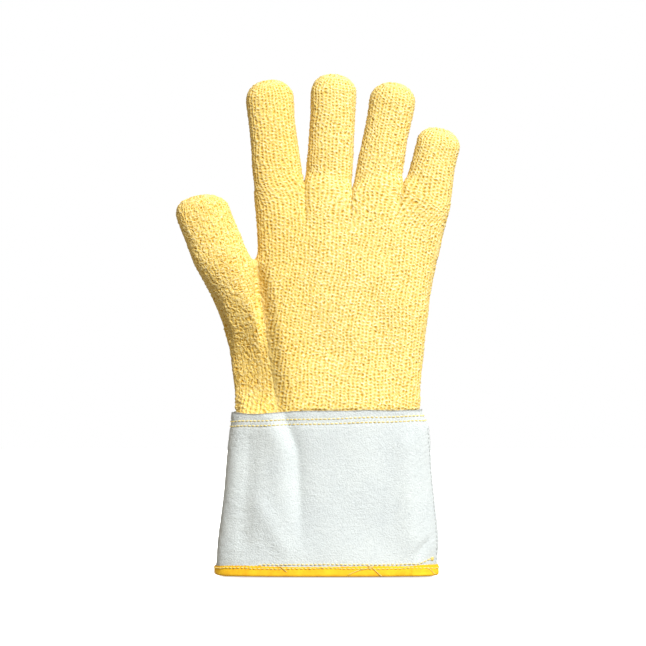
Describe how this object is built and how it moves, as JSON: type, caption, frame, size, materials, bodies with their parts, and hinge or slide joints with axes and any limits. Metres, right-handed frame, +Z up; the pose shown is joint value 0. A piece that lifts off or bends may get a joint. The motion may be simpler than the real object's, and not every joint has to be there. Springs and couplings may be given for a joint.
{
  "type": "gauntlet glove",
  "caption": "Left-hand heat-resistant glove of looped-pile knit with a flared split-leather cuff and taped edge; its fingers, thumb and wrist bend.",
  "frame": {"origin": "centre of the cuff's mouth, level with the lower face of its edge tape", "axes": "+Z up the glove towards the fingertips, -Y out of the palm side, -X towards the thumb"},
  "size_m": [0.1986, 0.0554, 0.3524],
  "materials": {
    "looped_knit": "looped pile, matt",
    "split_leather": "suede, matt",
    "edge_tape": "woven tape",
    "sewing_thread": "twisted thread"
  },
  "bodies": {
    "cuff": {"cuff_leather": "split_leather", "edge_tape": "edge_tape", "wrist_hem_knit": "looped_knit", "wrist_knit": "looped_knit", "seam_stitch_upper": "sewing_thread", "seam_stitch_lower": "sewing_thread", "side_seam_stitch": "sewing_thread", "tape_stitch": "sewing_thread"},
    "hand": {"palm_knit": "looped_knit"},
    "index_base": {"index_base_knit": "looped_knit"},
    "index_tip": {"index_tip_knit": "looped_knit"},
    "middle_base": {"middle_base_knit": "looped_knit"},
    "middle_tip": {"middle_tip_knit": "looped_knit"},
    "ring_base": {"ring_base_knit": "looped_knit"},
    "ring_tip": {"ring_tip_knit": "looped_knit"},
    "little_base": {"little_base_knit": "looped_knit"},
    "little_tip": {"little_tip_knit": "looped_knit"},
    "thumb_base": {"thumb_base_knit": "looped_knit"},
    "thumb_tip": {"thumb_tip_knit": "looped_knit"}
  },
  "joints": [
    {"name": "wrist_bend", "type": "hinge", "parent": "cuff", "child": "hand", "pos_m": [0, 0, 0.134], "axis": [1, 0, 0], "range_deg": [-35, 35], "stiffness_Nm_per_rad": 0.6, "deforming": ["wrist_knit"]},
    {"name": "index_knuckle_bend", "type": "hinge", "parent": "hand", "child": "index_base", "pos_m": [-0.03453, -0.0126, 0.28694], "axis": [0.9936, 0, 0.1132], "range_deg": [0, 60], "stiffness_Nm_per_rad": 0.03},
    {"name": "index_middle_bend", "type": "hinge", "parent": "index_base", "child": "index_tip", "pos_m": [-0.0377, -0.0126, 0.31476], "axis": [0.9936, 0, 0.1132], "range_deg": [0, 80], "stiffness_Nm_per_rad": 0.03},
    {"name": "middle_knuckle_bend", "type": "hinge", "parent": "hand", "child": "middle_base", "pos_m": [0.00171, -0.0124, 0.28498], "axis": [0.9981, 0, -0.061], "range_deg": [0, 60], "stiffness_Nm_per_rad": 0.03},
    {"name": "middle_middle_bend", "type": "hinge", "parent": "middle_base", "child": "middle_tip", "pos_m": [0.0036, -0.0124, 0.31592], "axis": [0.9981, 0, -0.061], "range_deg": [0, 80], "stiffness_Nm_per_rad": 0.03},
    {"name": "ring_knuckle_bend", "type": "hinge", "parent": "hand", "child": "ring_base", "pos_m": [0.03571, -0.012, 0.27784], "axis": [0.9836, 0, -0.1805], "range_deg": [0, 60], "stiffness_Nm_per_rad": 0.03},
    {"name": "ring_middle_bend", "type": "hinge", "parent": "ring_base", "child": "ring_tip", "pos_m": [0.0413, -0.012, 0.30833], "axis": [0.9836, 0, -0.1805], "range_deg": [0, 80], "stiffness_Nm_per_rad": 0.03},
    {"name": "little_knuckle_bend", "type": "hinge", "parent": "hand", "child": "little_base", "pos_m": [0.07046, -0.0116, 0.2698], "axis": [0.9755, 0, -0.2198], "range_deg": [0, 60], "stiffness_Nm_per_rad": 0.03},
    {"name": "little_middle_bend", "type": "hinge", "parent": "little_base", "child": "little_tip", "pos_m": [0.07508, -0.0116, 0.29029], "axis": [0.9755, 0, -0.2198], "range_deg": [0, 80], "stiffness_Nm_per_rad": 0.03},
    {"name": "thumb_knuckle_bend", "type": "hinge", "parent": "hand", "child": "thumb_base", "pos_m": [-0.07282, -0.019, 0.22041], "axis": [0.9259, 0, 0.3778], "range_deg": [0, 50], "stiffness_Nm_per_rad": 0.03},
    {"name": "thumb_middle_bend", "type": "hinge", "parent": "thumb_base", "child": "thumb_tip", "pos_m": [-0.08189, -0.019, 0.24263], "axis": [0.9259, 0, 0.3778], "range_deg": [0, 60], "stiffness_Nm_per_rad": 0.03}
  ]
}
